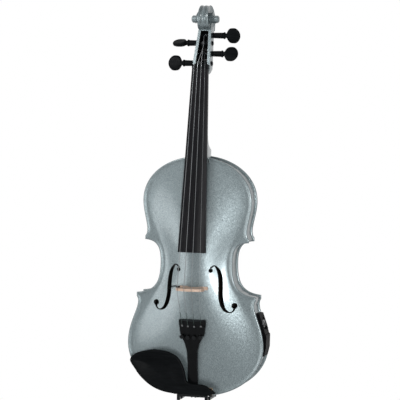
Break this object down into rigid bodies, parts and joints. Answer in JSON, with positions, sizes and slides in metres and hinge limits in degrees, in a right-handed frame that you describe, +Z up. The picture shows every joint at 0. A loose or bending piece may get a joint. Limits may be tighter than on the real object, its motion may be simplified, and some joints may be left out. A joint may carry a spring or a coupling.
{
  "type": "electric violin",
  "caption": "Full-size hollow electro-acoustic violin in silver flake lacquer with black fittings, chinrest, fine tuners and a side control panel with jack and battery door.",
  "frame": {"origin": "the place under the scroll, between its two ears at the height where a hanger fork holds the head", "axes": "+Z up along the body towards the scroll, -Y out of the front plate towards the player's view, +X towards the treble side (E string, control panel)"},
  "size_m": [0.211, 0.1009, 0.5851],
  "materials": {
    "silver_flake_lacquer": "gloss",
    "black_ebony": "satin",
    "black_plastic": "gloss",
    "pale_maple": "satin",
    "pale_spruce": "matte",
    "string_steel": "satin",
    "bright_chrome": "polished",
    "cork": "matte",
    "circuit_board": "satin",
    "battery_wrap": "satin"
  },
  "bodies": {
    "instrument": {"top_plate": "silver_flake_lacquer", "back_plate": "silver_flake_lacquer", "neck_block": "pale_spruce", "end_block": "pale_spruce", "upper_bass_corner_block": "pale_spruce", "upper_treble_corner_block": "pale_spruce", "lower_bass_corner_block": "pale_spruce", "lower_treble_corner_block": "pale_spruce", "upper_bass_rib": "silver_flake_lacquer", "upper_treble_rib": "silver_flake_lacquer", "waist_bass_rib": "silver_flake_lacquer", "waist_treble_rib": "silver_flake_lacquer", "lower_bass_rib": "silver_flake_lacquer", "lower_treble_rib": "silver_flake_lacquer", "bass_bar": "pale_spruce", "sound_post": "pale_spruce", "neck_and_scroll": "silver_flake_lacquer", "fingerboard": "black_ebony", "nut": "black_ebony", "bridge": "pale_maple", "g_string": "string_steel", "d_string": "string_steel", "a_string": "string_steel", "e_string": "string_steel", "tailpiece": "black_plastic", "tuner_pivot_pin": "bright_chrome", "saddle": "black_ebony", "end_button": "black_ebony", "tailgut": "black_plastic", "chinrest": "black_ebony", "chinrest_bass_cork": "cork", "chinrest_treble_cork": "cork", "clamp_upper_bracket": "bright_chrome", "control_panel": "black_plastic", "battery": "battery_wrap", "output_jack": "bright_chrome", "preamp_board": "circuit_board", "bridge_pickup": "black_plastic"},
    "g_peg_turning": {"g_peg": "black_ebony", "g_string_winding": "string_steel"},
    "d_peg_turning": {"d_peg": "black_ebony", "d_string_winding": "string_steel"},
    "a_peg_turning": {"a_peg": "black_ebony", "a_string_winding": "string_steel"},
    "e_peg_turning": {"e_peg": "black_ebony", "e_string_winding": "string_steel"},
    "g_screw_turning": {"g_tuner_screw": "bright_chrome"},
    "g_lever_rocking": {"g_tuner_lever": "string_steel"},
    "d_screw_turning": {"d_tuner_screw": "bright_chrome"},
    "d_lever_rocking": {"d_tuner_lever": "string_steel"},
    "a_screw_turning": {"a_tuner_screw": "bright_chrome"},
    "a_lever_rocking": {"a_tuner_lever": "string_steel"},
    "e_screw_turning": {"e_tuner_screw": "bright_chrome"},
    "e_lever_rocking": {"e_tuner_lever": "string_steel"},
    "volume_wheel_turning": {"volume_wheel": "black_plastic"},
    "tone_wheel_turning": {"tone_wheel": "black_plastic"},
    "door_swinging": {"battery_door": "black_plastic"},
    "bass_barrel_turning": {"clamp_bass_barrel": "bright_chrome"},
    "treble_barrel_turning": {"clamp_treble_barrel": "bright_chrome"},
    "clamp_bracket_sliding": {"clamp_lower_bracket": "bright_chrome"}
  },
  "joints": [
    {"name": "g_peg_turn", "type": "hinge", "parent": "instrument", "child": "g_peg_turning", "pos_m": [0, -0.0048, -0.0582], "axis": [1, 0, 0], "continuous": true},
    {"name": "d_peg_turn", "type": "hinge", "parent": "instrument", "child": "d_peg_turning", "pos_m": [0, 0.0048, -0.0284], "axis": [1, 0, 0], "continuous": true},
    {"name": "a_peg_turn", "type": "hinge", "parent": "instrument", "child": "a_peg_turning", "pos_m": [0, 0.0096, -0.0168], "axis": [1, 0, 0], "continuous": true},
    {"name": "e_peg_turn", "type": "hinge", "parent": "instrument", "child": "e_peg_turning", "pos_m": [0, -0.0004, -0.0438], "axis": [1, 0, 0], "continuous": true},
    {"name": "g_tuner_screw_turn", "type": "hinge", "parent": "instrument", "child": "g_screw_turning", "pos_m": [-0.0143, -0.04679, -0.45966], "axis": [0, 0.9869, 0.1616], "range_deg": [0, 1200]},
    {"name": "g_tuner_lever_rock", "type": "hinge", "parent": "instrument", "child": "g_lever_rocking", "pos_m": [0, -0.04347, -0.4428], "axis": [1, 0, 0], "range_deg": [0, 6]},
    {"name": "d_tuner_screw_turn", "type": "hinge", "parent": "instrument", "child": "d_screw_turning", "pos_m": [-0.00477, -0.04679, -0.45966], "axis": [0, 0.9869, 0.1616], "range_deg": [0, 1200]},
    {"name": "d_tuner_lever_rock", "type": "hinge", "parent": "instrument", "child": "d_lever_rocking", "pos_m": [0, -0.04347, -0.4428], "axis": [1, 0, 0], "range_deg": [0, 6]},
    {"name": "a_tuner_screw_turn", "type": "hinge", "parent": "instrument", "child": "a_screw_turning", "pos_m": [0.00477, -0.04679, -0.45966], "axis": [0, 0.9869, 0.1616], "range_deg": [0, 1200]},
    {"name": "a_tuner_lever_rock", "type": "hinge", "parent": "instrument", "child": "a_lever_rocking", "pos_m": [0, -0.04347, -0.4428], "axis": [1, 0, 0], "range_deg": [0, 6]},
    {"name": "e_tuner_screw_turn", "type": "hinge", "parent": "instrument", "child": "e_screw_turning", "pos_m": [0.0143, -0.04679, -0.45966], "axis": [0, 0.9869, 0.1616], "range_deg": [0, 1200]},
    {"name": "e_tuner_lever_rock", "type": "hinge", "parent": "instrument", "child": "e_lever_rocking", "pos_m": [0, -0.04347, -0.4428], "axis": [1, 0, 0], "range_deg": [0, 6]},
    {"name": "volume_wheel_turn", "type": "hinge", "parent": "instrument", "child": "volume_wheel_turning", "pos_m": [0.09877, -0.0015, -0.44771], "axis": [0, 1, 0], "range_deg": [-135, 135]},
    {"name": "tone_wheel_turn", "type": "hinge", "parent": "instrument", "child": "tone_wheel_turning", "pos_m": [0.09423, -0.0015, -0.43418], "axis": [0, 1, 0], "range_deg": [-135, 135]},
    {"name": "battery_door_swing", "type": "hinge", "parent": "instrument", "child": "door_swinging", "pos_m": [0.10365, -0.008, -0.4836], "axis": [0, 1, 0], "range_deg": [0, 90]},
    {"name": "bass_barrel_turn", "type": "hinge", "parent": "instrument", "child": "bass_barrel_turning", "pos_m": [-0.0213, -0.008, -0.5544], "axis": [0, 1, 0], "range_deg": [0, 720]},
    {"name": "treble_barrel_turn", "type": "hinge", "parent": "instrument", "child": "treble_barrel_turning", "pos_m": [0.0213, -0.008, -0.5544], "axis": [0, 1, 0], "range_deg": [0, 720]},
    {"name": "clamp_bracket_slide", "type": "slide", "parent": "instrument", "child": "clamp_bracket_sliding", "axis": [0, 1, 0], "range_m": [0, 0.0028]}
  ],
  "couplings": [
    {"joint": "g_tuner_lever_rock", "follows": "g_tuner_screw_turn", "ratio": 0.005},
    {"joint": "d_tuner_lever_rock", "follows": "d_tuner_screw_turn", "ratio": 0.005},
    {"joint": "a_tuner_lever_rock", "follows": "a_tuner_screw_turn", "ratio": 0.005},
    {"joint": "e_tuner_lever_rock", "follows": "e_tuner_screw_turn", "ratio": 0.005},
    {"joint": "bass_barrel_turn", "follows": "clamp_bracket_slide", "rad_per_m": 4487.9},
    {"joint": "treble_barrel_turn", "follows": "clamp_bracket_slide", "rad_per_m": 4487.9}
  ]
}
